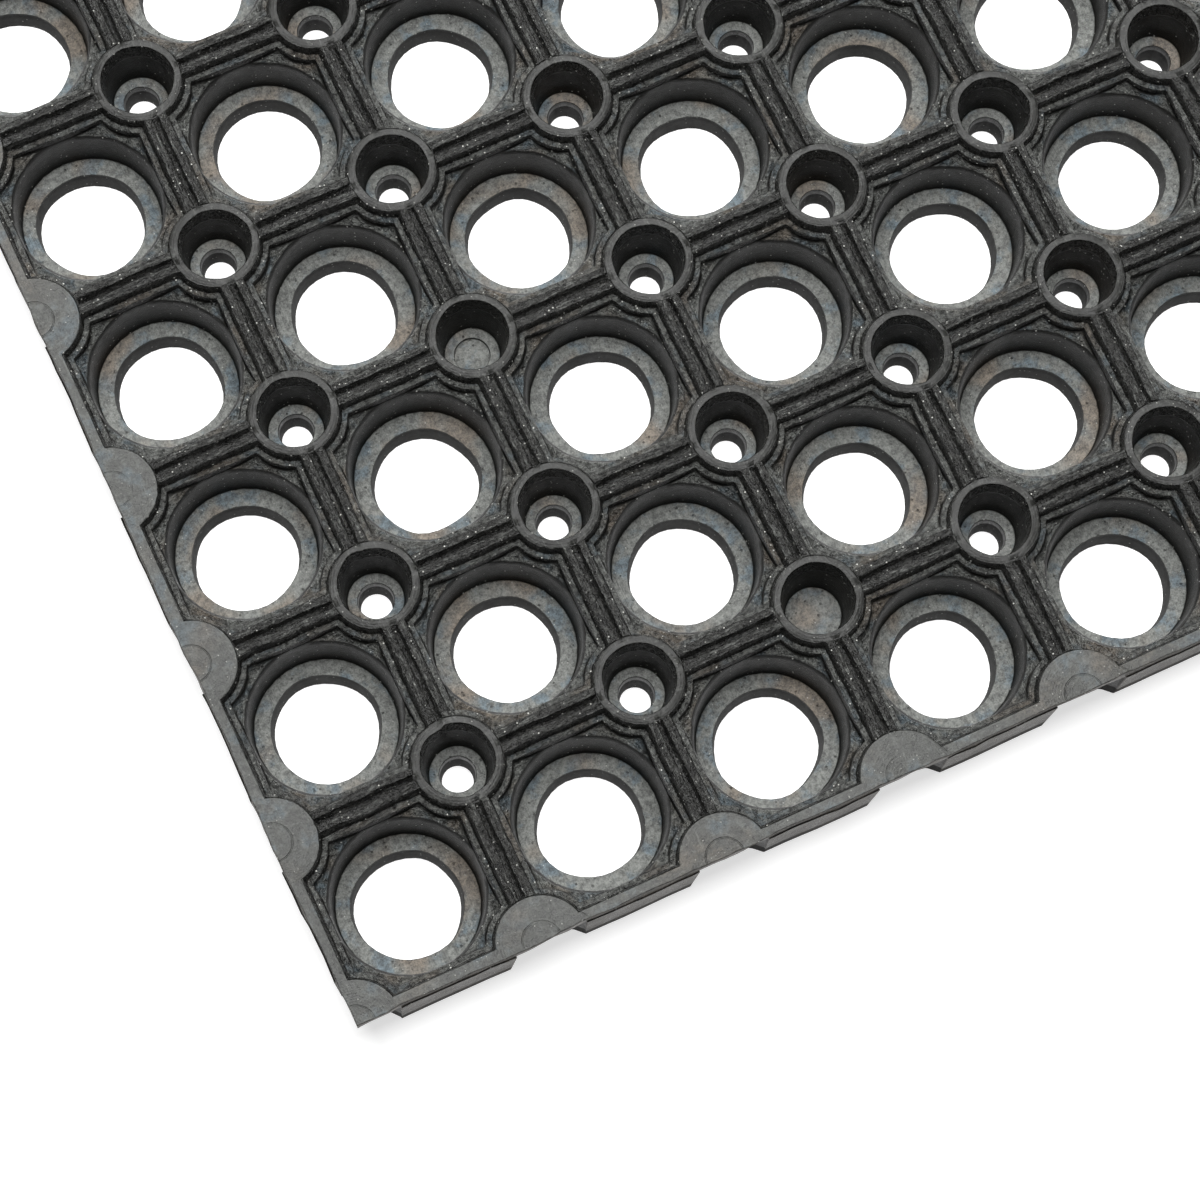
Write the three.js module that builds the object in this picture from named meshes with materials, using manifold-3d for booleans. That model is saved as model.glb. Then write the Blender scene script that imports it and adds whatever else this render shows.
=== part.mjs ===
// Open rubber ring mat of the kind laid in stalls and doorways, moulded in one piece.
//
// A square lattice runs through the mat. Each square of the lattice is a cell with a stepped
// drainage hole, each inner lattice point is a round cup with a small drain in its floor, and the
// web between them is the tread. A thin flange runs round the outside, and under it the cells
// stand on blocks with an open notch below each lattice point of the edge.
//
// Millimetres, +Z up. The origin is the middle of the underside, with X along the long side.

import * as THREE from 'three';
import { mergeGeometries, mergeVertices } from 'three/addons/utils/BufferGeometryUtils.js';
import Module from 'manifold-3d';

const wasm = await Module();
wasm.setup();

// Lattice
const pitch = 49.5;
const cellsLong = 12;
const cellsShort = 8;

// Heights above the floor
const thickness = 24;
const flangeThickness = 2.5;
const ledgeHeight = 6.2;
const cupFloorHeight = 8.2;

// Stepped hole of a cell: a funnel down to a flat ledge, and a hole through the ledge
const webWidth = 10.2;
const ledgeRadius = 18.1;
const holeTopRadius = 14.2;
const holeBottomRadius = 13.6;

// Cup at a lattice point
const cupRimRadius = 9.3;
const cupFloorRadius = 7.2;
const drainRadius = 4.9;
const blindRecessDepth = 1.2;

// Outside of the mat, measured outwards from the lattice's border line
const blockReach = 1;
const flangeReach = 0.6;

// Notch under an edge: its mouth, its straight end walls, and the round wall about each cell
const notchWidth = 19;
const notchEndWall = 2;
const cellWallRadius = 28.4;

// How far the lower half of the mould sat off the upper half: the notches stand off the lattice
const lowerMouldShift = 2.5;

// Sides of the round shapes, and how far a cutter runs past the face that it opens
const funnelSides = 8;
const holeSides = 10;
const cupSides = 6;
const overrun = 1;

// Height below which a triangle counts as three corners on one line
const flatTolerance = 0.002;

// Cups that the mould left without a drain, as lattice points counted from the low corner
const plainCups = [{ column: 3, row: 1 }];
const recessedCups = [{ column: 2, row: 3 }];

const borderX = (cellsLong * pitch) / 2;
const borderY = (cellsShort * pitch) / 2;

const rubber = new THREE.MeshStandardMaterial({ color: 0x33342f, roughness: 0.78, metalness: 0 });

// A closed geometry as a solid. Only positions are kept, so that shared corners merge.
function solidOf(geometry) {
  const bare = geometry.clone();
  bare.deleteAttribute('normal');
  bare.deleteAttribute('uv');
  const merged = mergeVertices(bare, 1e-5);
  const mesh = new wasm.Mesh({
    numProp: 3,
    vertProperties: Float32Array.from(merged.attributes.position.array),
    triVerts: Uint32Array.from(merged.index.array),
  });
  return new wasm.Manifold(mesh);
}

// Height of a triangle over its longest side, and which of its sides that is
function flatness(points, corners) {
  const sides = corners.map((corner, k) => points[corner].distanceTo(points[corners[(k + 1) % 3]]));
  const longest = sides.indexOf(Math.max(...sides));
  const [a, b, c] = corners.map((corner) => points[corner]);
  const area = new THREE.Triangle(a, b, c).getArea();
  return { height: (2 * area) / sides[longest], longest };
}

// Three corners on one line make a triangle with no area. Its longest side is turned to join the
// two corners that face it, which keeps the surface as it was.
function withoutFlatTriangles(points, triangles) {
  const sideOwner = new Map();
  triangles.forEach((corners, index) => {
    corners.forEach((corner, k) => sideOwner.set(`${corner} ${corners[(k + 1) % 3]}`, index));
  });
  const mended = triangles.map((corners) => [...corners]);
  triangles.forEach((corners, index) => {
    const { height, longest } = flatness(points, corners);
    if (height > flatTolerance) {
      return;
    }
    const [start, end, between] = [0, 1, 2].map((k) => corners[(longest + k) % 3]);
    const neighbour = sideOwner.get(`${end} ${start}`);
    const far = triangles[neighbour].find((corner) => corner !== start && corner !== end);
    mended[index] = [start, far, between];
    mended[neighbour] = [far, end, between];
  });
  return mended;
}

function geometryOf(solid) {
  const mesh = solid.getMesh();
  const coordinates = mesh.vertProperties;
  const points = [];
  for (let k = 0; k < coordinates.length; k += 3) {
    points.push(new THREE.Vector3().fromArray(coordinates, k));
  }
  const triangles = [];
  for (let k = 0; k < mesh.triVerts.length; k += 3) {
    triangles.push([...mesh.triVerts.slice(k, k + 3)]);
  }
  const geometry = new THREE.BufferGeometry();
  geometry.setAttribute('position', new THREE.BufferAttribute(coordinates, 3));
  geometry.setIndex(withoutFlatTriangles(points, triangles).flat());
  geometry.computeVertexNormals();
  return geometry;
}

// Radius of the polygon's corners that gives the polygon the area of the round shape
function cornerRadius(roundRadius, sides) {
  const turn = (2 * Math.PI) / sides;
  return roundRadius * Math.sqrt(turn / Math.sin(turn));
}

// Upright polygonal cone frustum with a flat side facing +X
function frustum(lowRadius, highRadius, low, high, sides) {
  const geometry = new THREE.CylinderGeometry(highRadius, lowRadius, high - low, sides);
  geometry.rotateX(Math.PI / 2);
  geometry.rotateZ(Math.PI / sides);
  geometry.translate(0, 0, (low + high) / 2);
  return geometry;
}

// The same, opening a face at its high end: it keeps its slope past that face
function taperedCut(lowRadius, highRadius, low, face, sides) {
  const slope = (highRadius - lowRadius) / (face - low);
  return frustum(lowRadius, highRadius + slope * overrun, low, face + overrun, sides);
}

function columnX(column) {
  return column * pitch - borderX;
}

function rowY(row) {
  return row * pitch - borderY;
}

// Every place of a rectangle of the lattice, with halves for the middles of the cells
function places(firstColumn, lastColumn, firstRow, lastRow) {
  const list = [];
  for (let column = firstColumn; column <= lastColumn; column += 1) {
    for (let row = firstRow; row <= lastRow; row += 1) {
      list.push({ column, row });
    }
  }
  return list;
}

function copiesAt(geometry, list) {
  const copies = list.map(({ column, row }) => geometry.clone().translate(columnX(column), rowY(row), 0));
  return mergeGeometries(copies);
}

function isIn(list, place) {
  return list.some(({ column, row }) => column === place.column && row === place.row);
}

// Funnel of a cell, from the tread down to the ledge. Its flats stand half a web from the lattice.
function funnel() {
  const flatToCentre = (pitch - webWidth) / 2;
  const topRadius = flatToCentre / Math.cos(Math.PI / funnelSides);
  const lowRadius = cornerRadius(ledgeRadius, funnelSides);
  return taperedCut(lowRadius, topRadius, ledgeHeight, thickness, funnelSides);
}

// Hole through the ledge, a little wider at the ledge than at the underside
function ledgeHole() {
  const low = cornerRadius(holeBottomRadius, holeSides);
  const high = cornerRadius(holeTopRadius, holeSides);
  const slope = (high - low) / ledgeHeight;
  return frustum(low - slope * overrun, high + slope * overrun, -overrun, ledgeHeight + overrun, holeSides);
}

function cupBore() {
  const low = cornerRadius(cupFloorRadius, cupSides);
  const high = cornerRadius(cupRimRadius, cupSides);
  return taperedCut(low, high, cupFloorHeight, thickness, cupSides);
}

function drain(low) {
  const radius = cornerRadius(drainRadius, cupSides);
  return frustum(radius, radius, low, cupFloorHeight + overrun, cupSides);
}

// Half of the notch's outline beside a lattice point of the edge, from its mouth to where the
// round walls of the two cells meet. Distances are along the edge and inwards from the border.
function notchHalf() {
  const halfMouth = notchWidth / 2;
  const meetsAt = Math.sqrt(cellWallRadius ** 2 - (pitch / 2) ** 2);
  return [
    { along: halfMouth, inwards: -blockReach },
    { along: halfMouth, inwards: notchEndWall - blockReach },
    { along: 0, inwards: pitch / 2 - meetsAt },
  ];
}

// Points of one edge of the blocks, between two corners, for an edge of so many cells. The edge
// runs along +X at Y = 0 with the mat above it, and the notches slide along it.
function edgePoints(cells, slide) {
  const half = notchHalf();
  const points = [];
  for (let place = 1; place < cells; place += 1) {
    const at = place * pitch + slide.x;
    points.push(new THREE.Vector2(at - half[0].along, half[0].inwards));
    points.push(new THREE.Vector2(at - half[1].along, half[1].inwards));
    points.push(new THREE.Vector2(at, half[2].inwards));
    points.push(new THREE.Vector2(at + half[1].along, half[1].inwards));
    points.push(new THREE.Vector2(at + half[0].along, half[0].inwards));
  }
  return points;
}

// Corner of the blocks before an edge that starts there: the open corner round the first cell
function cornerPoints(slide) {
  const [mouth, wallEnd] = notchHalf();
  const middle = pitch / 2 - cellWallRadius * Math.SQRT1_2;
  return [
    new THREE.Vector2(mouth.inwards, mouth.along + slide.y),
    new THREE.Vector2(wallEnd.inwards, wallEnd.along + slide.y),
    new THREE.Vector2(middle + slide.x, middle + slide.y),
    new THREE.Vector2(wallEnd.along + slide.x, wallEnd.inwards),
    new THREE.Vector2(mouth.along + slide.x, mouth.inwards),
  ];
}

// The blocks' outline: four edges, each with its corner before it, turned a quarter each time
function blockOutline() {
  const corners = [
    { x: -borderX, y: -borderY, cells: cellsLong },
    { x: borderX, y: -borderY, cells: cellsShort },
    { x: borderX, y: borderY, cells: cellsLong },
    { x: -borderX, y: borderY, cells: cellsShort },
  ];
  const centre = new THREE.Vector2(0, 0);
  return corners.flatMap(({ x, y, cells }, quarter) => {
    const turn = (quarter * Math.PI) / 2;
    const slide = new THREE.Vector2(lowerMouldShift, lowerMouldShift).rotateAround(centre, -turn);
    const points = [...cornerPoints(slide), ...edgePoints(cells, slide)];
    const offset = new THREE.Vector2(x, y);
    return points.map((point) => point.rotateAround(centre, turn).add(offset));
  });
}

function blocks() {
  const outline = new THREE.Shape(blockOutline());
  return new THREE.ExtrudeGeometry(outline, {
    depth: thickness - flangeThickness,
    bevelEnabled: false,
    steps: 1,
  });
}

function flange() {
  const plate = new THREE.BoxGeometry(
    2 * (borderX + flangeReach),
    2 * (borderY + flangeReach),
    flangeThickness,
  );
  return plate.translate(0, 0, thickness - flangeThickness / 2);
}

function matGeometry() {
  const cells = places(0.5, cellsLong - 0.5, 0.5, cellsShort - 0.5);
  const cups = places(1, cellsLong - 1, 1, cellsShort - 1);
  const closed = [...plainCups, ...recessedCups];
  const drained = cups.filter((place) => !isIn(closed, place));
  const cuts = [
    copiesAt(funnel(), cells),
    copiesAt(ledgeHole(), cells),
    copiesAt(cupBore(), cups),
    copiesAt(drain(-overrun), drained),
    copiesAt(drain(cupFloorHeight - blindRecessDepth), recessedCups),
  ];
  let mat = solidOf(blocks()).add(solidOf(flange()));
  for (const cut of cuts) {
    mat = mat.subtract(solidOf(cut));
  }
  return geometryOf(mat);
}

const mat = new THREE.Mesh(matGeometry(), rubber);
mat.name = 'ring_mat';

const part = new THREE.Group();
part.add(mat);

export default part;
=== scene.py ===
"""A black rubber ring mat for a stall, laid flat, with its stepped drainage holes, drained cups,
grooved ribs and notched edge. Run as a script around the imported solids."""

import math
from types import SimpleNamespace

import bpy
import numpy as np
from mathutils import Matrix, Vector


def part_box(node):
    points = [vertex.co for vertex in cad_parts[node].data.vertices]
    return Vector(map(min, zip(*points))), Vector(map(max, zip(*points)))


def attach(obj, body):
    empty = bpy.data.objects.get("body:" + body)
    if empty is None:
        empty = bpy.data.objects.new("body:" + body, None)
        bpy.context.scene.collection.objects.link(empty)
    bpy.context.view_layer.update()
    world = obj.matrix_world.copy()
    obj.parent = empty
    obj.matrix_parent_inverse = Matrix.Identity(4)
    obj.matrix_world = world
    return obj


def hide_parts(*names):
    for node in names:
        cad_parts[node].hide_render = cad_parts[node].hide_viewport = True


bl_info = {
    "name": "Rubber Ring Mat",
    "version": (1, 0, 0),
    "blender": (4, 5, 0),
    "location": "View3D > Sidebar > Ring Mat",
    "description": "Dresses the solid of a rubber ring mat and sets up its studio",
    "category": "Object",
}

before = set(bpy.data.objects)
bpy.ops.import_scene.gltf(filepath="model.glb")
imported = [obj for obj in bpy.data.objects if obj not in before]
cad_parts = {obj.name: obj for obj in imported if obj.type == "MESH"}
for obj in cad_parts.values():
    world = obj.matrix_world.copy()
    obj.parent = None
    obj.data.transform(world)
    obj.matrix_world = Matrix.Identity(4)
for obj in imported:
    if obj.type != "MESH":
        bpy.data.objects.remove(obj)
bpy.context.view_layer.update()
MAT_NODE = "ring_mat"
MAT_LOW, MAT_HIGH = (np.array(corner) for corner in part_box(MAT_NODE))

MM = 0.001
COLUMNS, ROWS = 12, 8
THICKNESS = float(MAT_HIGH[2] - MAT_LOW[2])
BLOCK_REACH = 1.0 * MM
PITCH = float(MAT_HIGH[0] - MAT_LOW[0] - 2 * BLOCK_REACH) / COLUMNS
BORDER = np.array([COLUMNS, ROWS]) * PITCH / 2

# The lower half of the mould sat off the upper half, so the notches stand off the lattice
LOWER_SHIFT = np.array([2.5, 2.5]) * MM
# Where a notch's straight end walls stop, inwards of the lattice's border
WALL_END = 1.0 * MM
# Radius of the notches' hollow walls about the middles of the cells
CELL_WALL = 28.4 * MM

# Segments of a cell's outline on one straight side and on one corner arc, and of a rib's width
SIDE_STEPS = 6
ARC_STEPS = 4
RIB_STEPS = 7
# Points nearer to each other than this are one point
WELD = 1e-6

# Waves of the wear, each as its length and how far it moves a point: the slow drift of the whole
# surface, the torn edges of ribs, which move by the wobble, the edges of holes, dips in level
# faces, the smeared ribs beside the left edge, and the slow and quick waves of the mat's outside
DRIFT_WAVE, DRIFT = 14 * MM, 0.16 * MM
TORN_WAVE = 3.4 * MM
OVAL_WAVE, OVAL = 11 * MM, 0.55 * MM
DIP_WAVE, DIP = 7 * MM, 0.22 * MM
SMEAR_WAVE, SMEAR = 6.5 * MM, 0.7 * MM
SLOW_EDGE_WAVE, SLOW_EDGE = 23 * MM, 0.75 * MM
QUICK_EDGE_WAVE, QUICK_EDGE = 3 * MM, 0.12 * MM

# Sizes of the rubber's textures, and how deep a relief of 1 is
STAIN, PATCH, CLOUD = 7 * MM, 16 * MM, 42 * MM
MOTTLE, GRAIN, CRUMPLE = 1.6 * MM, 0.45 * MM, 1.1 * MM
FIBRE, SCRATCH = 0.55 * MM, 0.5 * MM
PIT_SPACING, FLECK_SPACING = 1.7 * MM, 1.25 * MM
RELIEF_DEPTH = 1.0 * MM

# Rims end between these radii
RIM_FADE = (11.2 * MM, 11.6 * MM)
# The step from one kind of face to the next
FACE_FADE = 0.2 * MM

# Factors that scramble whole numbers into random ones
AXIS_FACTORS = np.array([73856093, 19349663, 83492791], dtype=np.int64)
SEED_FACTOR = 2654435761
FIRST_FACTOR, SECOND_FACTOR = 2246822519, 3266489917
WORD = 0xFFFFFFFF
LOW_BITS = 0xFFFFFF


def length(name, description, default):
    return bpy.props.FloatProperty(
        name=name, description=description, default=default, subtype="DISTANCE", unit="LENGTH"
    )


def share(name, description, default):
    return bpy.props.FloatProperty(
        name=name, description=description, default=default, min=0.0, max=1.0, subtype="FACTOR"
    )


def amount(name, description, default):
    return bpy.props.FloatProperty(name=name, description=description, default=default)


def colour(name, description, default):
    return bpy.props.FloatVectorProperty(
        name=name, description=description, default=default, size=3, min=0.0, max=1.0, subtype="COLOR"
    )


class MatShape(bpy.types.PropertyGroup):
    """Sizes of the moulded forms. Depths are measured down from the tread."""

    bead_edge: length("Bead edge", "Half the width of a rib over the flats of its two beads", 2.75 * MM)
    crown: length("Crown", "How far the tread falls off towards a rib's edge", 0.45 * MM)
    groove_half: length("Groove", "Half the width of the groove between two beads", 0.9 * MM)
    groove_depth: length("Groove depth", "Depth of the groove below the tread", 2.6 * MM)
    rim_radius: length("Cup rim", "Outer radius of a cup's flat rim", 11.3 * MM)
    terrace_depth: length("Terrace depth", "Depth of the narrow step beside each rib", 3.2 * MM)
    terrace_width: length("Terrace width", "Width of the narrow step beside each rib", 1.45 * MM)
    floor_depth: length("Spandrel depth", "Depth of the flat corners of a cell", 5.7 * MM)
    funnel_radius: length("Funnel rim", "Radius of the funnel where it leaves the spandrels", 20.3 * MM)
    ledge_radius: length("Ledge radius", "Outer radius of the ledge at the funnel's foot", 18.1 * MM)
    ledge_height: length("Ledge height", "Height of the ledge above the floor", 6.2 * MM)
    hole_top: length("Hole, top", "Radius of the drainage hole at the ledge", 13.9 * MM)
    hole_bottom: length("Hole, bottom", "Radius of the drainage hole at the underside", 13.2 * MM)
    cup_radius: length("Cup mouth", "Radius of a cup's bore at the tread", 9.3 * MM)
    cup_floor_radius: length("Cup floor", "Radius of a cup's floor", 7.2 * MM)
    cup_floor: length("Cup floor height", "Height of a cup's floor", 8.2 * MM)
    drain_radius: length("Drain", "Radius of the drain in a cup's floor", 4.6 * MM)
    flange_reach: length("Flange", "How far the flange stands out past the lattice", 0.6 * MM)
    flange_thickness: length("Flange thickness", "Thickness of the flange", 2.5 * MM)
    notch_half: length("Notch", "Half the width of a notch's mouth", 9.5 * MM)
    block_draft: length("Block draft", "How far a block's face leans in at its foot", 1.5 * MM)
    rounding: length("Edge rounding", "Size of the moulded edges' rounding", 0.32 * MM)
    wobble: length("Wobble", "How far the torn edges of the ribs wander", 0.28 * MM)


class RubberFinish(bpy.types.PropertyGroup):
    """Colours of the rubber."""

    wall: colour("Walls", "Smooth walls of the funnels and cups", (0.0055, 0.0053, 0.0046))
    tread: colour("Tread", "Torn rubber of the ribs", (0.0185, 0.0185, 0.017))
    rim: colour("Rims", "Flat tops of the cup rims and the border", (0.026, 0.027, 0.0245))
    bloom: colour("Bloom", "Pale bloom on the ledges and spandrels", (0.105, 0.109, 0.102))
    cool: colour("Cool stain", "Bluish stain in the bloom", (0.066, 0.090, 0.106))
    warm: colour("Warm stain", "Brownish stain in the bloom", (0.110, 0.089, 0.068))
    # Sides: painted light from the pale floor and room on the upright outer faces, tinted brown
    side: colour("Sides", "Dusty brown cast of the upright faces of the edge", (0.062, 0.054, 0.045))
    dust: colour("Dust", "Specks of pale dust", (0.62, 0.62, 0.58))


class StudioSetup(bpy.types.PropertyGroup):
    """The pale floor, the soft lights and the camera."""

    floor_tone: share("Floor tone", "Brightness of the pale floor", 0.55)
    floor_glow: share("Floor glow", "Light that the floor gives, which keeps it white", 0.66)
    room_glow: share("Room glow", "Light that comes from all round", 0.06)
    overhead: amount("Overhead", "Power of the soft top light", 54.0)
    behind: amount("Behind", "Power of the soft far light", 27.0)
    lens: amount("Lens", "Focal length in millimetres", 117.14)


def seeded_random(points, seed):
    """A number from 0 to 1 for each row of whole numbers: the fractional part of a scrambled product."""
    mixed = points.astype(np.int64) @ AXIS_FACTORS
    mixed = (mixed + seed * SEED_FACTOR) & WORD
    mixed = ((mixed ^ (mixed >> 15)) * FIRST_FACTOR) & WORD
    mixed = ((mixed ^ (mixed >> 13)) * SECOND_FACTOR) & WORD
    return ((mixed ^ (mixed >> 16)) & LOW_BITS) / float(LOW_BITS)


def smooth_noise(points, size, seed):
    """Value noise from -1 to 1: random numbers on a cubic lattice of the given size, blended by
    the smooth step 3t^2 - 2t^3 along each axis."""
    scaled = points / size
    cell = np.floor(scaled)
    t = scaled - cell
    t = t * t * (3 - 2 * t)
    total = np.zeros(len(points))
    for corner in range(8):
        step = np.array([corner & 1, (corner >> 1) & 1, (corner >> 2) & 1])
        weight = np.prod(np.where(step, t, 1 - t), axis=1)
        total += weight * seeded_random(cell + step, seed)
    return 2 * total - 1


class Moulding:
    """Patches of a surface, each a grid of points, gathered and then welded into one mesh."""

    def __init__(self):
        self.points = []
        self.faces = []
        self.count = 0

    def add(self, grid, places=((0.0, 0.0),), closed=True, flip=False):
        """Adds a grid of rows x columns points at each place. A closed grid joins its last column
        to its first. Each square of the grid becomes two triangles."""
        rows, columns = grid.shape[:2]
        index = np.arange(rows * columns).reshape(rows, columns)
        right = np.roll(index, -1, axis=1)
        last = columns if closed else columns - 1
        a, b = index[:-1, :last], right[:-1, :last]
        d, c = index[1:, :last], right[1:, :last]
        triangles = np.concatenate([np.stack([a, b, c], -1), np.stack([a, c, d], -1)]).reshape(-1, 3)
        if flip:
            triangles = triangles[:, ::-1]
        shifts = np.zeros((len(places), 1, 3))
        shifts[:, 0, :2] = places
        copies = grid.reshape(1, -1, 3) + shifts
        offsets = self.count + np.arange(len(places)) * rows * columns
        self.points.append(copies.reshape(-1, 3))
        self.faces.append((triangles[None] + offsets[:, None, None]).reshape(-1, 3))
        self.count += len(places) * rows * columns

    def welded(self):
        """Points and triangles with near points merged, and the triangles that this closes dropped."""
        points = np.concatenate(self.points)
        faces = np.concatenate(self.faces)
        keys = np.round(points / WELD).astype(np.int64)
        _, first, inverse = np.unique(keys, axis=0, return_index=True, return_inverse=True)
        faces = inverse.reshape(-1)[faces]
        is_open = np.all(faces != np.roll(faces, -1, axis=1), axis=1)
        return points[first], faces[is_open]


def turned(points, quarter):
    """Points in the plane turned by so many right angles."""
    angle = quarter * math.pi / 2
    turn = np.array([[math.cos(angle), math.sin(angle)], [-math.sin(angle), math.cos(angle)]])
    return points @ turn


def side_places(half_web, arc_radius):
    """Where the points of a straight side lie along it, from one corner to the other. Seen from
    the cell's centre they are equal angles apart."""
    flat = PITCH / 2 - half_web
    reach = PITCH / 2 - math.sqrt(arc_radius**2 - half_web**2)
    corner = math.atan2(reach, flat)
    return flat * np.tan(np.linspace(-corner, corner, SIDE_STEPS + 1))


def outline(half_web, arc_radius):
    """Outline of a cell at one level, about its centre: four straight sides half a web from the
    lattice lines, and four hollow arcs about the lattice points."""
    along = side_places(half_web, arc_radius)
    side = np.stack([np.full_like(along, PITCH / 2 - half_web), along], axis=1)
    lean = math.asin(half_web / arc_radius)
    angles = np.linspace(-math.pi / 2 - lean, lean - math.pi, ARC_STEPS + 1)[1:-1]
    arc = PITCH / 2 + arc_radius * np.stack([np.cos(angles), np.sin(angles)], axis=1)
    quarter = np.concatenate([side, arc])
    return np.concatenate([turned(quarter, k) for k in range(4)])


def at_height(plane_points, height):
    return np.column_stack([plane_points, np.full(len(plane_points), height)])


def cell_grid(shape):
    """Rings of one cell, from the tread down its stepped walls to the spandrels, down the funnel
    to the ledge, through the hole and out along the underside. The outer rings are outlines and
    the inner ones are circles at the same angles."""
    top = THICKNESS
    r = shape.rounding
    step = shape.rim_radius - shape.bead_edge
    terrace = shape.bead_edge + 0.95 * MM
    edge = terrace + shape.terrace_width - r
    foot = edge + 1.2 * r
    levels = [
        (shape.bead_edge, shape.crown),
        (shape.bead_edge + 0.8 * r, shape.crown + 0.6 * r),
        (terrace - 0.5 * r, shape.terrace_depth - 0.6 * r),
        (terrace + 0.6 * r, shape.terrace_depth),
        (edge, shape.terrace_depth + 0.1 * r),
        (edge + 0.6 * r, shape.terrace_depth + 0.8 * r),
        (foot, shape.floor_depth),
    ]
    rings = [at_height(outline(web, web + step), top - depth) for web, depth in levels]
    floor_ring = rings[-1][:, :2]
    spans = np.linalg.norm(floor_ring, axis=1)
    directions = floor_ring / spans[:, None]
    mouth = np.minimum(shape.funnel_radius, spans - 0.15 * MM)
    floor = top - shape.floor_depth
    rings.append(at_height(directions * mouth[:, None], floor))
    ledge = shape.ledge_height
    circles = [
        (shape.funnel_radius - 1.0 * MM, floor - 1.3 * MM),
        (shape.ledge_radius + 0.25 * MM, ledge + 0.7 * MM),
        (shape.ledge_radius - 0.35 * MM, ledge),
        (shape.hole_top + 0.8 * r, ledge),
        (shape.hole_top, ledge - 0.8 * r),
        (shape.hole_bottom, 0.0),
    ]
    for radius, height in circles:
        inside = np.minimum(radius, mouth - 0.3 * MM)
        rings.append(at_height(directions * inside[:, None], height))
    rings.append(at_height(rings[0][:, :2], 0.0))
    return np.stack(rings)


def rib_widths(shape):
    """Points across a rib and their depths: bead, groove with sloping walls, bead."""
    half = shape.groove_half
    inner = [half + 0.35 * MM, half, 0.55 * half]
    across = np.array([-shape.bead_edge] + [-v for v in inner] + inner[::-1] + [shape.bead_edge])
    depths = np.array([shape.crown, 0.0, 0.35 * MM, shape.groove_depth])
    return across, np.concatenate([depths, depths[::-1]])


def rib_top(shape):
    """Tread of a rib that runs along +X from the lattice point at the origin: its cross section
    carried along, rising to the tread where it meets the two cup rims."""
    across, depths = rib_widths(shape)
    start = np.sqrt(shape.rim_radius**2 - across**2)
    along = PITCH / 2 + side_places(shape.bead_edge, shape.rim_radius)
    grid = np.zeros((len(across), SIDE_STEPS + 1, 3))
    grid[:, :, 0] = along[None]
    grid[:, :, 1] = across[:, None]
    grid[:, :, 2] = THICKNESS - depths[:, None]
    end_wall = 0.45 * MM
    grid[:, 0, 0], grid[:, -1, 0] = start, PITCH - start
    grid[:, 0, 2] = grid[:, -1, 2] = THICKNESS - shape.crown
    grid[1:-1, 1, 0] = start[1:-1] + end_wall + 0.15 * depths[1:-1]
    grid[1:-1, -2, 0] = PITCH - grid[1:-1, 1, 0]
    return grid


def rib_bottom(shape):
    """Underside of the same rib: a flat strip between its two edges."""
    along = PITCH / 2 + side_places(shape.bead_edge, shape.rim_radius)
    grid = np.zeros((2, SIDE_STEPS + 1, 3))
    grid[:, :, 0] = along[None]
    grid[:, :, 1] = np.array([[-shape.bead_edge], [shape.bead_edge]])
    return grid


def rim_ring(shape, underside=False):
    """Outer edge of a cup rim, about its lattice point: for each quarter the end of a rib and an
    arc. On the underside the end of a rib is one straight step."""
    across, _ = rib_widths(shape)
    if underside:
        across = np.where(across < shape.bead_edge, -shape.bead_edge, across)
    end = np.stack([np.sqrt(shape.rim_radius**2 - across**2), across], axis=1)
    lean = math.asin(shape.bead_edge / shape.rim_radius)
    angles = np.linspace(lean, math.pi / 2 - lean, ARC_STEPS + 1)[1:-1]
    arc = shape.rim_radius * np.stack([np.cos(angles), np.sin(angles)], axis=1)
    quarter = np.concatenate([end, arc])
    return np.concatenate([turned(quarter, k) for k in range(4)])


def cup_grid(shape, drain_profile):
    """Rings of one cup: its flat rim, the tapered bore, the floor, the given rings of the drain
    and the underside. Each is a circle at equal angles but the first and the last."""
    top = THICKNESS
    r = shape.rounding
    profile = [
        (shape.cup_radius + 0.9 * r, top),
        (shape.cup_radius - 0.1 * r, top - 0.9 * r),
        (shape.cup_floor_radius + 0.25 * MM, shape.cup_floor + 0.6 * MM),
        (shape.cup_floor_radius - 0.3 * MM, shape.cup_floor),
    ] + drain_profile
    quarter = RIB_STEPS + ARC_STEPS
    angles = (np.arange(4 * quarter) - RIB_STEPS / 2) * math.pi / 2 / quarter
    circle = np.stack([np.cos(angles), np.sin(angles)], axis=1)
    rings = [at_height(rim_ring(shape), top - shape.crown)]
    rings += [at_height(circle * radius, height) for radius, height in profile]
    rings.append(at_height(rim_ring(shape, underside=True), 0.0))
    return np.stack(rings)


def drains(shape):
    """Profiles of the three kinds of cup floor: drained, blind with a shallow recess, and plain."""
    r = shape.rounding
    radius, floor = shape.drain_radius, shape.cup_floor
    lip = [(radius + 0.9 * r, floor), (radius + 0.1 * r, floor - 0.8 * r)]
    closed = [(0.0, floor - 1.2 * MM), (0.0, 0.0)]
    return {
        "drained": lip + [(radius - 0.6 * MM, 0.0)],
        "recessed": lip + [(radius - 0.05 * MM, floor - 1.2 * MM)] + closed,
        "plain": [(radius, floor), (0.0, floor), (0.0, 0.0)],
    }


# Cups that have no open drain, as lattice points counted from the low corner
CLOSED_CUPS = {(3, 1): "plain", (2, 3): "recessed"}


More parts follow.
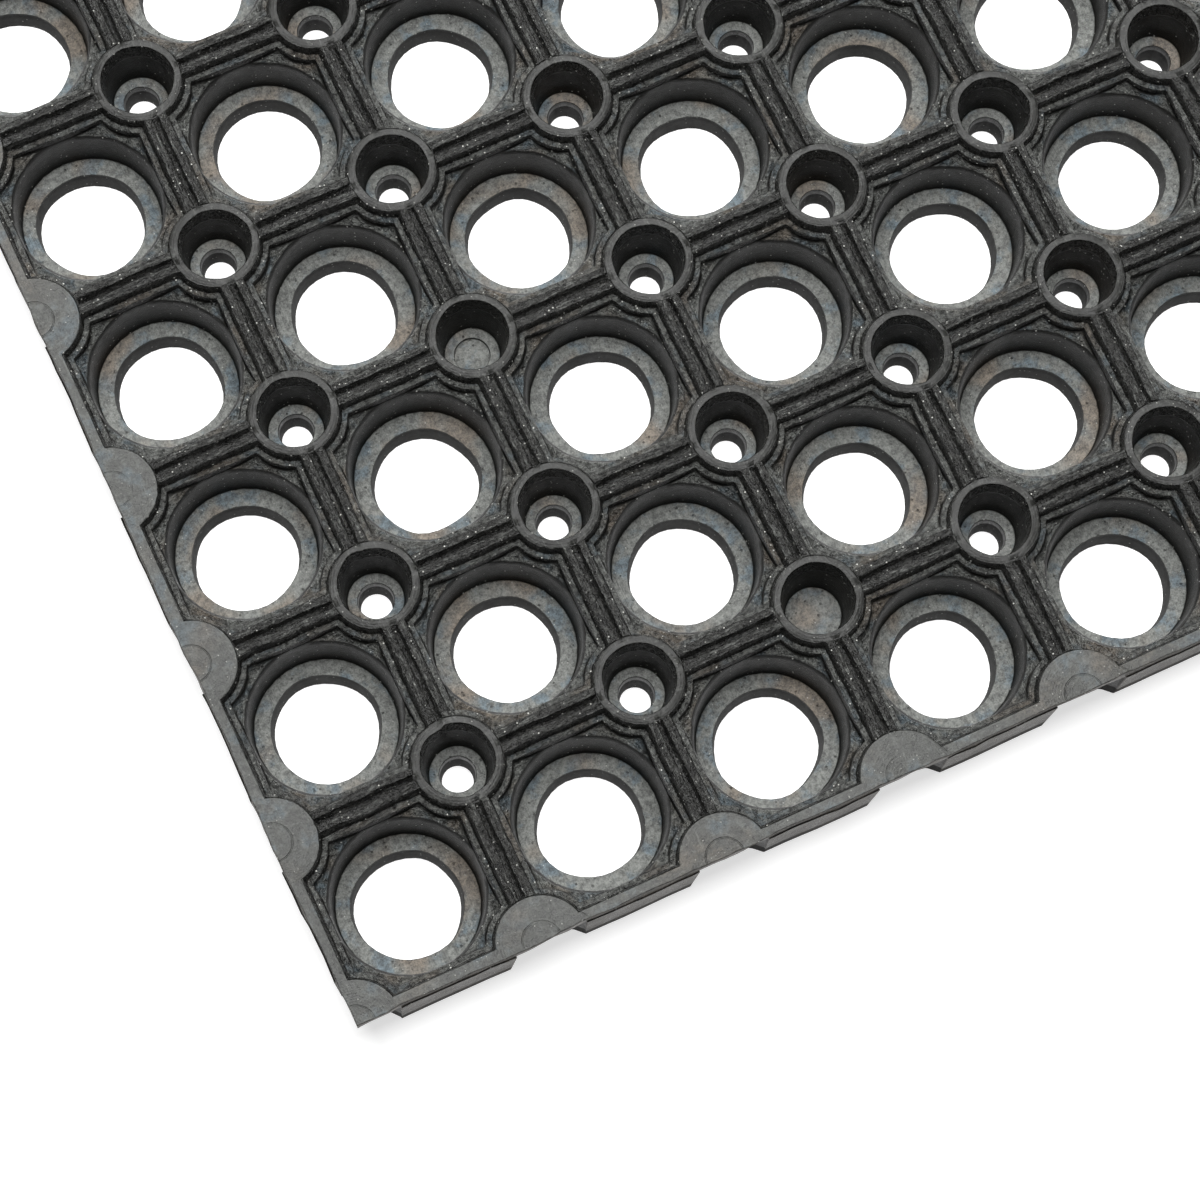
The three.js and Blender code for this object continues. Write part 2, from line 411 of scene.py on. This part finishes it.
def half_disc(shape):
    """Edge of a filled half disc, from one side to the other past the end of a rib, on the tread
    and on the underside, where the end of the rib is one straight step."""
    bead, rim = shape.bead_edge, shape.rim_radius
    across, _ = rib_widths(shape)
    lean = math.asin(bead / rim)
    angles = np.linspace(math.pi / 2 - lean, lean, ARC_STEPS + 1)[1:-1]
    arc = rim * np.stack([np.cos(angles), np.sin(angles)], axis=1)
    end = np.stack([across, np.sqrt(rim**2 - across**2)], axis=1)
    flat = np.stack([np.where(across < bead, -bead, across), np.full_like(across, end[0, 1])], axis=1)
    mirrored = arc[::-1] * [-1, 1]
    return np.concatenate([mirrored, end, arc]), np.concatenate([mirrored, flat, arc])


def notch_half_wall(shape, points):
    """Half of a notch's wall, from its mouth along the straight end and the hollow arc to the
    middle, and the same line at the foot, where the block leans in and is shorter."""
    notch = shape.notch_half
    apex = PITCH / 2 - math.sqrt(CELL_WALL**2 - (PITCH / 2) ** 2)
    covered = np.linspace(0, 1, points - 3, endpoint=False)[1:]
    start, end = np.array([-notch, WALL_END]), np.array([0.0, apex])
    bulge = 0.8 * MM * np.sin(covered * math.pi)
    arc = start + covered[:, None] * (end - start) - bulge[:, None]
    last = end + [-0.3 * MM, -0.3 * MM]
    wall = np.concatenate([[[-notch, -BLOCK_REACH], [-notch, -shape.flange_reach], start], arc, [last]])
    lean = np.zeros_like(wall)
    lean[:2, 1] = shape.block_draft
    lean[:, 0] = -0.8 * MM * np.linspace(1, 0, points)
    return wall, wall + lean


def border_side(shape, cells, slide):
    """Stations along one side of the mat, each with five places: the edge of the cells, the
    flange's edge, the block wall under the flange, the block's foot, and the cells' edge on the
    underside. Distances are along the side from its first lattice point, and inwards. The places
    below the tread slide along the side."""
    notch, flange = shape.notch_half, shape.flange_reach
    upper, lower = half_disc(shape)
    half = len(upper) // 2
    wall, foot = notch_half_wall(shape, half)
    wall = np.concatenate([wall, wall[::-1] * [-1, 1]])
    foot = np.concatenate([foot, foot[::-1] * [-1, 1]])
    edge = np.concatenate([[-notch - 0.9 * MM], np.linspace(-notch, -0.8 * MM, half - 1)])
    edge = np.concatenate([edge, -edge[::-1]])
    edge = np.stack([edge, np.full_like(edge, -flange)], axis=1)
    disc = np.stack([upper, edge + slide, wall + slide, foot + slide, lower], axis=1)

    along = PITCH / 2 + side_places(shape.bead_edge, shape.rim_radius)
    margin = notch + 2.0 * MM
    spread = np.interp(along, [along[0], along[-1]], [margin, PITCH - margin]) + slide[0]
    rows = [
        (along, shape.bead_edge),
        (spread, -flange),
        (spread, -BLOCK_REACH),
        (spread, shape.block_draft - BLOCK_REACH),
        (along, shape.bead_edge),
    ]
    straight = np.stack([np.stack([x, np.full_like(x, y)], axis=1) for x, y in rows], axis=1)
    stations = []
    for cell in range(cells):
        stations.append(straight + [cell * PITCH, 0])
        if cell < cells - 1:
            stations.append(disc + [(cell + 1) * PITCH, 0])
    return np.concatenate(stations)


def border_corner(shape, slide):
    """Stations round the corner before a side, with the same five places. The wall runs in from
    the last block, round the first cell, and out to the next block."""
    flange, rim = shape.flange_reach, shape.rim_radius
    lean = math.asin(shape.bead_edge / rim)
    angles = np.linspace(math.pi / 2 - lean, lean, ARC_STEPS + 1)[1:-1]
    arc = np.repeat(rim * np.stack([np.cos(angles), np.sin(angles)], axis=1), 3, axis=0)
    middle = PITCH / 2 - CELL_WALL * math.sqrt(0.5) + slide
    ends = shape.notch_half + slide
    halves = []
    for end, mid in ((ends[1], middle), (ends[0], middle[::-1])):
        edge = [[-flange, end + 0.9 * MM], [-flange, end], [-flange, 0.7 * end], [-flange, 0.3 * end]]
        between = 0.5 * (np.array([WALL_END, end]) + mid) - 0.1 * MM
        wall = [[-BLOCK_REACH, end], [-flange, end], [WALL_END, end], between]
        halves.append((np.array(edge), np.array(wall)))
    (edge_before, wall_before), (edge_after, wall_after) = halves
    edge = np.concatenate([edge_before, [[-flange, -flange]], edge_after[::-1, ::-1]])
    wall = np.concatenate([wall_before, [middle], wall_after[::-1, ::-1]])
    lean_in = np.zeros_like(wall)
    lean_in[:2, 0] = lean_in[-2:, 1] = shape.block_draft
    return np.stack([arc, edge, wall, wall + lean_in, arc], axis=1)


def border_grid(shape):
    """The border as rings that run round the mat, from the cells' edge on the underside out to the
    blocks' feet, up their walls, under the flange, round its edge and in over the tread."""
    corners = [(-1, -1, COLUMNS), (1, -1, ROWS), (1, 1, COLUMNS), (-1, 1, ROWS)]
    stations = []
    for quarter, (x, y, cells) in enumerate(corners):
        slide = turned(LOWER_SHIFT, -quarter)
        local = [border_corner(shape, slide), border_side(shape, cells, slide * [1, 0])]
        stations.append(turned(np.concatenate(local), quarter) + BORDER * [x, y])
    stations = np.concatenate(stations)
    inner, edge, wall, foot, under = (stations[:, k] for k in range(5))
    r = shape.rounding
    flange_under = THICKNESS - shape.flange_thickness
    outwards = np.zeros_like(edge)
    for axis in range(2):
        at_edge = np.abs(edge[:, axis]) > BORDER[axis]
        outwards[at_edge, axis] = np.sign(edge[at_edge, axis])
    on_block = np.any(np.abs(wall) > BORDER + shape.flange_reach + WELD, axis=1)[:, None]
    rows = [
        (under, 0.0),
        (foot - outwards * on_block * 0.8 * r, 0.0),
        (foot, 0.9 * r),
        (wall, flange_under - 0.6 * r),
        (wall - outwards * on_block * 0.3 * r, flange_under),
        (edge, flange_under),
        (edge, THICKNESS - 0.9 * r),
        (edge - outwards * 0.9 * r, THICKNESS),
        (inner, THICKNESS - shape.crown),
    ]
    return np.stack([at_height(ring, height) for ring, height in rows])


def lattice_places(first_column, last_column, first_row, last_row):
    """Places of a rectangle of the lattice, as columns and rows and in metres."""
    columns = np.arange(first_column, last_column + 1)
    rows = np.arange(first_row, last_row + 1)
    grid = np.stack(np.meshgrid(columns, rows, indexing="ij"), axis=-1).reshape(-1, 2)
    return grid, grid * PITCH - BORDER


def moulded_mat(shape):
    """The whole mat as welded patches: cells, cups, ribs both ways, and the border."""
    moulding = Moulding()
    _, cells = lattice_places(0.5, COLUMNS - 0.5, 0.5, ROWS - 0.5)
    moulding.add(cell_grid(shape), cells)
    lattice, cups = lattice_places(1, COLUMNS - 1, 1, ROWS - 1)
    kinds = np.array([CLOSED_CUPS.get(tuple(int(n) for n in point), "drained") for point in lattice])
    for kind, profile in drains(shape).items():
        moulding.add(cup_grid(shape, profile), cups[kinds == kind])
    _, along_x = lattice_places(0, COLUMNS - 1, 1, ROWS - 1)
    _, along_y = lattice_places(1, COLUMNS - 1, 0, ROWS - 1)
    for grid, flip in ((rib_top(shape), True), (rib_bottom(shape), False)):
        upright = grid.copy()
        upright[:, :, :2] = turned(grid[:, :, :2].reshape(-1, 2), 1).reshape(*grid.shape[:2], 2)
        moulding.add(grid, along_x, closed=False, flip=not flip)
        moulding.add(upright, along_y, closed=False, flip=not flip)
    moulding.add(border_grid(shape))
    return moulding.welded()


def from_lattice(points):
    """Signed distances of points from the nearest lattice line along X and along Y."""
    offset = points[:, :2] + BORDER
    return offset - PITCH * np.round(offset / PITCH)


def worn(points, shape):
    """Moves points by smooth noise: the ribs' torn edges wander, two ribs by the left edge are
    smeared, the holes are a little out of round, and level faces dip. Nothing leaves the box of
    the solid."""
    near = from_lattice(points)
    to_line = np.min(np.abs(near), axis=1)
    to_cell = np.linalg.norm(PITCH / 2 - np.abs(near), axis=1)
    height = points[:, 2]
    moved = points.copy()
    high = np.clip((height - (THICKNESS - 7 * MM)) / (2 * MM), 0, 1)
    on_rib = np.clip(1.6 - to_line / (3.6 * MM), 0, 1) * high
    hole = np.clip((17 * MM - to_cell) / (2 * MM), 0, 1) * (height < shape.ledge_height + 0.5 * MM)
    flat = np.column_stack([points[:, :2], np.zeros(len(points))])
    column, row = (points[:, axis] + BORDER[axis] for axis in range(2))
    smeared = (column < PITCH) & (row > PITCH / 2) & (row < 2.5 * PITCH)
    moved[:, 1] += SMEAR * smeared * on_rib * smooth_noise(flat, SMEAR_WAVE, 61)
    for axis in range(2):
        drift = DRIFT * smooth_noise(flat, DRIFT_WAVE, 11 + axis)
        torn = shape.wobble * on_rib * smooth_noise(points, TORN_WAVE, 21 + axis)
        oval = OVAL * hole * smooth_noise(flat, OVAL_WAVE, 31 + axis)
        moved[:, axis] += drift + torn + oval
    beyond = np.abs(points[:, :2]) - BORDER
    for axis in range(2):
        at_edge = np.clip((beyond[:, axis] + 0.8 * MM) / (0.8 * MM), 0, 1)
        bulge = 0.5 + 0.5 * smooth_noise(flat, SLOW_EDGE_WAVE, 51 + axis)
        quick = QUICK_EDGE * (1 + smooth_noise(points, QUICK_EDGE_WAVE, 53 + axis))
        moved[:, axis] -= np.sign(points[:, axis]) * at_edge * (SLOW_EDGE * bulge + quick)
    dip = 0.5 + 0.5 * smooth_noise(flat, DIP_WAVE, 41)
    moved[:, 2] -= DIP * dip * high * (0.4 + 0.6 * on_rib)
    low, top = MAT_LOW + WELD, MAT_HIGH - WELD
    return np.clip(moved, low, top)


def face_normals(points, faces):
    """Normals of triangles, as long as twice their area."""
    a, b, c = (points[faces[:, k]] for k in range(3))
    return np.cross(b - a, c - a)


def mesh_object(name, points, faces, material):
    """A mesh object at the origin. Each point's shading normal is the sum of its triangles'
    normals weighted by area, so broad flat faces stay flat beside their rounded edges."""
    mesh = bpy.data.meshes.new(name)
    mesh.vertices.add(len(points))
    mesh.vertices.foreach_set("co", points.astype(np.float32).ravel())
    mesh.loops.add(3 * len(faces))
    mesh.loops.foreach_set("vertex_index", faces.astype(np.int32).ravel())
    mesh.polygons.add(len(faces))
    mesh.polygons.foreach_set("loop_start", np.arange(0, 3 * len(faces), 3, dtype=np.int32))
    mesh.polygons.foreach_set("use_smooth", np.ones(len(faces), dtype=bool))
    mesh.update(calc_edges=True)
    mesh.validate()
    areas = face_normals(points, faces)
    normals = np.zeros_like(points)
    for k in range(3):
        np.add.at(normals, faces[:, k], areas)
    normals /= np.maximum(np.linalg.norm(normals, axis=1), 1e-20)[:, None]
    mesh.normals_split_custom_set_from_vertices(normals.tolist())
    mesh.materials.append(material)
    piece = bpy.data.objects.new(name, mesh)
    bpy.context.collection.objects.link(piece)
    return piece


class Value:
    """A socket that carries a number or a vector. Arithmetic on it adds Math nodes."""

    def __init__(self, shader, socket):
        self.shader = shader
        self.socket = socket

    def math(self, operation, *others):
        inputs = dict(enumerate([self, *others]))
        return self.shader.add("ShaderNodeMath", {"operation": operation}, inputs)

    def __add__(self, other):
        return self.math("ADD", other)

    __radd__ = __add__

    def __sub__(self, other):
        return self.math("SUBTRACT", other)

    def __rsub__(self, other):
        return self.shader.number("SUBTRACT", other, self)

    def __mul__(self, other):
        return self.math("MULTIPLY", other)

    __rmul__ = __mul__

    def __truediv__(self, other):
        return self.math("DIVIDE", other)

    def clamp(self):
        return self.shader.add("ShaderNodeClamp", {}, {0: self})

    def ramp(self, low, high):
        """0 below low, 1 above high, and a smooth step between."""
        settings = {"interpolation_type": "SMOOTHSTEP"}
        return self.shader.add("ShaderNodeMapRange", settings, {0: self, 1: low, 2: high, 3: 0.0, 4: 1.0})

    def between(self, low, high, soft):
        return self.ramp(low - soft, low) * (1 - self.ramp(high, high + soft))


class Shader:
    """One material's node tree."""

    def __init__(self, name):
        self.material = bpy.data.materials.new(name)
        self.material.use_nodes = True
        self.tree = self.material.node_tree
        self.tree.nodes.clear()

    def add(self, kind, settings, inputs, output=0):
        """Adds a node: its settings first, then the values or links of its sockets."""
        node = self.tree.nodes.new(kind)
        for key, value in settings.items():
            setattr(node, key, value)
        for key, value in inputs.items():
            if isinstance(value, Value):
                self.tree.links.new(value.socket, node.inputs[key])
            elif value is not None:
                node.inputs[key].default_value = value
        return Value(self, node.outputs[output]) if node.outputs else None

    def number(self, operation, first, second):
        return self.add("ShaderNodeMath", {"operation": operation}, {0: first, 1: second})

    def mix(self, low, high, share):
        """A colour between two colours."""
        return self.add("ShaderNodeMix", {"data_type": "RGBA"}, {0: share, 6: low, 7: high}, output=2)

    def shaded(self, body, shade):
        """A colour multiplied by a number."""
        tone = self.add("ShaderNodeCombineColor", {}, {0: shade, 1: shade, 2: shade})
        settings = {"data_type": "RGBA", "blend_type": "MULTIPLY"}
        return self.add("ShaderNodeMix", settings, {0: 1.0, 6: body, 7: tone}, output=2)

    def stretched(self, place, factors):
        return self.add("ShaderNodeVectorMath", {"operation": "MULTIPLY"}, {0: place, 1: factors})

    def noise(self, place, size, detail=3.0, roughness=0.6):
        inputs = {"Vector": place, "Scale": 1 / size, "Detail": detail, "Roughness": roughness}
        return self.add("ShaderNodeTexNoise", {}, inputs)

    def speckle(self, place, size, shift):
        """Distance to the nearest of scattered points, in cells, and a random number for each."""
        moved = self.add("ShaderNodeVectorMath", {"operation": "ADD"}, {0: place, 1: (shift, shift, shift)})
        inputs = {"Vector": moved, "Scale": 1 / size}
        near = self.add("ShaderNodeTexVoronoi", {}, inputs)
        tint = Value(self, near.socket.node.outputs["Color"])
        return near, self.add("ShaderNodeSeparateColor", {}, {0: tint})

    def principled(self, sockets, height, distance):
        bump = self.add("ShaderNodeBump", {}, {"Height": height, "Strength": 1.0, "Distance": distance})
        surface = self.add("ShaderNodeBsdfPrincipled", {}, {**sockets, "Normal": bump})
        self.add("ShaderNodeOutputMaterial", {}, {"Surface": surface})
        return self.material


def opaque(colour_property):
    return (*colour_property, 1.0)


def kinds_of_face(shader, place, shape):
    """Masks, each 1 on one kind of face and 0 elsewhere, from where a point lies on the lattice,
    its height and its normal. Distances to the nearest lattice point and line come along."""
    x, y, z = (shader.add("ShaderNodeSeparateXYZ", {}, {0: place}, output=k) for k in range(3))
    normal = shader.add("ShaderNodeNewGeometry", {}, {}, output="Normal")
    level = shader.add("ShaderNodeSeparateXYZ", {}, {0: normal}, output=2).ramp(0.55, 0.85)
    near_x, near_y = (
        axis.math("ADD", float(border)).math("PINGPONG", PITCH / 2) for axis, border in zip((x, y), BORDER)
    )
    to_cup = (near_x * near_x + near_y * near_y).math("SQRT")
    to_line = near_x.math("MINIMUM", near_y)
    beside_x = (near_x - near_y).ramp(-0.5 * MM, 0.5 * MM)
    beyond_x, beyond_y = (
        axis.math("ABSOLUTE") - float(border) for axis, border in zip((x, y), BORDER)
    )
    outside = beyond_x.math("MAXIMUM", beyond_y)

    floor_height = THICKNESS - shape.floor_depth
    step_height = THICKNESS - shape.terrace_depth
    spandrel = z.between(floor_height - 0.8 * MM, floor_height + 0.5 * MM, FACE_FADE)
    ledge = z.between(shape.ledge_height - 0.6 * MM, shape.ledge_height + 0.4 * MM, FACE_FADE)
    cup_floor = z.between(shape.cup_floor - 1.5 * MM, shape.cup_floor + 0.4 * MM, FACE_FADE)
    terrace = z.between(step_height - 0.5 * MM, step_height + 0.3 * MM, FACE_FADE) * level
    bloom = (spandrel + ledge + cup_floor).clamp() * level

    at_top = z.ramp(THICKNESS - 0.9 * MM, THICKNESS - 0.6 * MM) * level
    rim = at_top * (1 - to_cup.ramp(*RIM_FADE))
    disc = rim * outside.ramp(-13 * MM, -12 * MM)
    border = disc.math("MAXIMUM", at_top * outside.ramp(-2.9 * MM, -2.6 * MM))
    smooth_top = rim.math("MAXIMUM", border)
    high = z.ramp(THICKNESS - 5.4 * MM, THICKNESS - 4.8 * MM)
    ribs = high * (1 - smooth_top) * (1 - outside.ramp(-0.7 * MM, 0.0))
    return SimpleNamespace(
        to_cup=to_cup,
        beside_x=beside_x,
        spandrel=spandrel,
        ledge=ledge * level,
        terrace=terrace,
        bloom=bloom,
        at_top=at_top,
        rim=rim,
        border=border,
        smooth_top=smooth_top,
        ribs=ribs,
        crest=ribs * to_line.between(0.95 * MM, 2.9 * MM, 0.25 * MM),
        rough=(ribs + spandrel * level).clamp(),
        # Upright faces at the edge, which take the brownish painted light of the sides colour
        side=outside.ramp(-1.0 * MM, 0.0) * (1 - level),
        hollow_wall=(1 - level) * z.ramp(shape.ledge_height, shape.ledge_height + 1 * MM),
        low_wall=(1 - z.ramp(shape.ledge_height - 0.8 * MM, shape.ledge_height)) * (1 - level),
    )


def marks_on_rubber(shader, place, kinds):
    """Noises and scattered marks. The torn fibres of a rib lie along it, so they are stretched
    noise that runs along X beside an X line and along Y beside a Y line."""
    patch = shader.noise(place, PATCH, 2.0, 0.5)
    along_x = shader.noise(shader.stretched(place, (0.16, 1.0, 0.5)), FIBRE, 3.0, 0.7)
    along_y = shader.noise(shader.stretched(place, (1.0, 0.16, 0.5)), FIBRE, 3.0, 0.7)
    pit, pit_draw = shader.speckle(place, PIT_SPACING, 0.3)
    fleck, fleck_draw = shader.speckle(place, FLECK_SPACING, 0.7)
    turned_rings = kinds.to_cup.math("PINGPONG", 0.35 * MM) * (1 / MM)
    return SimpleNamespace(
        stain=shader.noise(place, STAIN, 3.0, 0.6),
        patch=patch,
        broad=shader.noise(place, CLOUD, 1.0, 0.5),
        mottle=shader.noise(place, MOTTLE, 4.0, 0.75),
        grain=shader.noise(place, GRAIN, 2.0, 0.7),
        crumple=shader.noise(place, CRUMPLE, 3.0, 0.7),
        torn=along_y * (1 - kinds.beside_x) + along_x * kinds.beside_x,
        scratch=shader.noise(shader.stretched(place, (1.0, 0.08, 1.0)), SCRATCH, 2.0, 0.6),
        pits=(1 - pit.ramp(0.10, 0.22)) * pit_draw.ramp(0.72, 0.76),
        dust=(1 - fleck.ramp(0.1, 0.21)) * fleck_draw.ramp(0.6, 0.92),
        ring=kinds.to_cup.between(4.75 * MM, 4.95 * MM, 0.15 * MM) * kinds.at_top * patch.ramp(0.4, 0.6),
        turning=turned_rings * kinds.smooth_top * (1 - kinds.to_cup.ramp(11 * MM, RIM_FADE[1])),
    )


def rubber_colour(shader, finish, kinds, marks):
    """Dark walls and ribs, greyer rims, stained bloom on level faces, scuffed crests with painted glints,
    painted shade in hollows, dark pits, brownish painted light on the upright outer faces, and dust over
    all."""
    bloom = opaque(finish.bloom)
    pale = shader.mix(bloom, opaque(finish.cool), marks.stain.ramp(0.5, 0.66) * 0.8)
    pale = shader.mix(pale, opaque(finish.warm), marks.patch.ramp(0.52, 0.68) * 0.8)
    film = kinds.border * (0.1 + marks.stain.ramp(0.44, 0.62) * 0.35)
    paleness = kinds.bloom * (1 - kinds.spandrel * 0.3) + kinds.terrace * 0.45 + film
    body = shader.mix(opaque(finish.wall), opaque(finish.tread), kinds.ribs)
    body = shader.mix(body, opaque(finish.rim), kinds.border.math("MAXIMUM", kinds.rim * 0.35))
    # Painted light: the upright outer faces are lifted to a brownish grey that stands in for light from the
    # pale floor and room
    body = shader.mix(body, opaque(finish.side), kinds.side * (0.5 + marks.mottle * 0.6))
    body = shader.mix(body, pale, paleness.clamp())
    # Pale scuffs where the torn noise is high on crests, rims and terraces; they also stand in for painted
    # glints on the torn edges
    scuffs_and_glints = (kinds.crest + kinds.smooth_top * 0.4 + kinds.terrace * 0.8).clamp()
    body = shader.mix(body, bloom, scuffs_and_glints * marks.torn.ramp(0.52, 0.66) * 0.7)

    fine = marks.mottle.ramp(0.34, 0.66) * 0.8 + marks.grain.ramp(0.32, 0.68) * 0.5
    shade = 0.14 + fine + marks.broad * 0.3
    # Painted shade: the low places of the crumpled spandrels and of the torn ribs are darkened in the
    # colour
    crumple_shade = (1 - marks.crumple.ramp(0.36, 0.56)) * kinds.rough
    hollow_shade = crumple_shade + (1 - marks.torn.ramp(0.36, 0.5)) * kinds.ribs * 0.3
    shade = shade * (1 - hollow_shade.clamp() * 0.7)
    shade = shade * (1 - marks.pits * kinds.bloom * 0.6) * (1 - marks.ring * 0.22)
    body = shader.shaded(body, shade)
    dusty = (0.3 + kinds.ribs * 0.5 + kinds.hollow_wall * 0.4).clamp()
    return shader.mix(body, opaque(finish.dust), marks.dust * dusty)


def rubber_roughness(kinds, marks):
    """Torn rubber is glossier than the ledges, and the walls below them are dull."""
    rough = 0.46 - kinds.rough * 0.2 + kinds.ledge * 0.06 + kinds.low_wall * 0.4
    return (rough + (marks.mottle - 0.5) * 0.5 + (marks.stain - 0.5) * 0.3).clamp()


def rubber_relief(kinds, marks):
    """Grain and mottling all over, crumpled and torn ribs, scratched ledges and sides, and faint
    turning marks on rims and discs."""
    even = marks.grain * (0.14 + kinds.rough * 0.16) + marks.mottle * (0.14 + kinds.bloom * 0.16)
    coarse = marks.crumple * kinds.rough * (1.1 - kinds.ribs * 0.6) + marks.torn * kinds.ribs * 0.6
    scratched = marks.scratch * (kinds.ledge * 0.25 + kinds.side * 0.5)
    small = marks.dust * 0.1 - marks.pits * kinds.bloom * 0.2 - marks.ring * 0.25 + marks.turning * 0.07
    return even + coarse + scratched + small


def rubber_material(finish, shape):
    """Moulded rubber. Where a point lies on the lattice gives its kind of face: pale bloom on the
    ledges, spandrels and cup floors, smooth dark walls, torn ribs, and flat rims and border."""
    shader = Shader("moulded rubber")
    place = shader.add("ShaderNodeTexCoord", {}, {}, output="Object")
    kinds = kinds_of_face(shader, place, shape)
    marks = marks_on_rubber(shader, place, kinds)
    sockets = {
        "Base Color": rubber_colour(shader, finish, kinds, marks),
        "Roughness": rubber_roughness(kinds, marks),
        "Specular IOR Level": 0.3,
    }
    return shader.principled(sockets, rubber_relief(kinds, marks), RELIEF_DEPTH)


def floor_material(studio):
    """A pale board with the least trace of tone."""
    shader = Shader("pale floor")
    place = shader.add("ShaderNodeTexCoord", {}, {}, output="Object")
    tone = studio.floor_tone
    cloud = shader.noise(place, 0.4, 2.0, 0.5)
    body = shader.mix((tone, tone, tone, 1.0), (0.98 * tone, 0.98 * tone, 0.97 * tone, 1.0), cloud)
    sockets = {
        "Base Color": body,
        "Roughness": 0.8,
        "Emission Color": (1.0, 1.0, 1.0, 1.0),
        "Emission Strength": studio.floor_glow,
    }
    return shader.principled(sockets, cloud, 0.05 * MM)


class RINGMAT_OT_mat(bpy.types.Operator):
    """Make the moulded mat"""

    bl_idname = "ringmat.mat"
    bl_label = "Moulded mat"

    def execute(self, context):
        shape = context.scene.ringmat_shape
        points, faces = moulded_mat(shape)
        points = worn(points, shape)
        material = rubber_material(context.scene.ringmat_finish, shape)
        mat = mesh_object("moulded_ring_mat", points, faces, material)
        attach(mat, "root")
        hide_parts(MAT_NODE)
        return {"FINISHED"}


def soft_light(name, place, aim, size, power):
    """A square light that looks from its place to its aim."""
    data = bpy.data.lights.new(name, "AREA")
    data.shape = "SQUARE"
    data.size = size
    data.energy = power
    light = bpy.data.objects.new(name, data)
    light.location = place
    direction = np.array(aim) - np.array(place)
    direction = direction / np.linalg.norm(direction)
    yaw = math.atan2(direction[1], direction[0]) - math.pi / 2
    pitch = math.acos(-direction[2])
    light.rotation_euler = (pitch, 0.0, yaw)
    bpy.context.collection.objects.link(light)


# The camera looks down on the near left corner, as the photograph does
CAMERA_PLACE = (-0.3367, -0.3502, 0.9595)
CAMERA_TURN = (15.618, -1.843, -25.153)
SENSOR_WIDTH = 36.0
# The lights hang over the mat and beyond it, and look at this place
LIGHT_AIM = (-0.1, 0.0, 0.0)
OVERHEAD_PLACE, OVERHEAD_SIZE = (-0.1, 0.2, 1.7), 1.1
FAR_PLACE, FAR_SIZE = (0.35, 1.2, 1.0), 0.7
FLOOR_HALF = 1.6


class RINGMAT_OT_studio(bpy.types.Operator):
    """Lay the pale floor, hang the soft lights and place the camera"""

    bl_idname = "ringmat.studio"
    bl_label = "Studio"

    def execute(self, context):
        studio = context.scene.ringmat_studio
        corners = np.array([[-1, -1, 0], [1, -1, 0], [1, 1, 0], [-1, 1, 0]]) * FLOOR_HALF
        halves = np.array([[0, 1, 2], [0, 2, 3]])
        floor = mesh_object("pale_floor", corners, halves, floor_material(studio))
        soft_light("overhead_light", OVERHEAD_PLACE, LIGHT_AIM, OVERHEAD_SIZE, studio.overhead)
        soft_light("far_light", FAR_PLACE, LIGHT_AIM, FAR_SIZE, studio.behind)
        world = bpy.data.worlds.new("pale room")
        world.use_nodes = True
        background = world.node_tree.nodes["Background"]
        background.inputs["Color"].default_value = (1.0, 1.0, 1.0, 1.0)
        background.inputs["Strength"].default_value = studio.room_glow
        context.scene.world = world
        context.scene.view_settings.view_transform = "Standard"
        data = bpy.data.cameras.new("camera")
        data.lens = studio.lens
        data.sensor_width = SENSOR_WIDTH
        camera = bpy.data.objects.new("camera", data)
        camera.location = CAMERA_PLACE
        camera.rotation_euler = [math.radians(angle) for angle in CAMERA_TURN]
        context.collection.objects.link(camera)
        context.scene.camera = camera
        return {"FINISHED"}


class RINGMAT_PT_panel(bpy.types.Panel):
    """Lists the mat's steps and its sizes"""

    bl_label = "Ring Mat"
    bl_idname = "RINGMAT_PT_panel"
    bl_space_type = "VIEW_3D"
    bl_region_type = "UI"
    bl_category = "Ring Mat"

    def draw(self, context):
        layout = self.layout
        layout.operator(RINGMAT_OT_studio.bl_idname)
        layout.operator(RINGMAT_OT_mat.bl_idname)
        scene = context.scene
        for group in (scene.ringmat_shape, scene.ringmat_finish, scene.ringmat_studio):
            box = layout.box()
            for key in group.bl_rna.properties.keys():
                if key not in {"rna_type", "name"}:
                    box.prop(group, key)


CLASSES = (MatShape, RubberFinish, StudioSetup, RINGMAT_OT_studio, RINGMAT_OT_mat, RINGMAT_PT_panel)


def register():
    for cls in CLASSES:
        bpy.utils.register_class(cls)
    bpy.types.Scene.ringmat_shape = bpy.props.PointerProperty(type=MatShape)
    bpy.types.Scene.ringmat_finish = bpy.props.PointerProperty(type=RubberFinish)
    bpy.types.Scene.ringmat_studio = bpy.props.PointerProperty(type=StudioSetup)


def unregister():
    del bpy.types.Scene.ringmat_studio
    del bpy.types.Scene.ringmat_finish
    del bpy.types.Scene.ringmat_shape
    for cls in reversed(CLASSES):
        bpy.utils.unregister_class(cls)


def main():
    register()
    bpy.ops.ringmat.studio()
    bpy.ops.ringmat.mat()


if __name__ == "__main__":
    main()
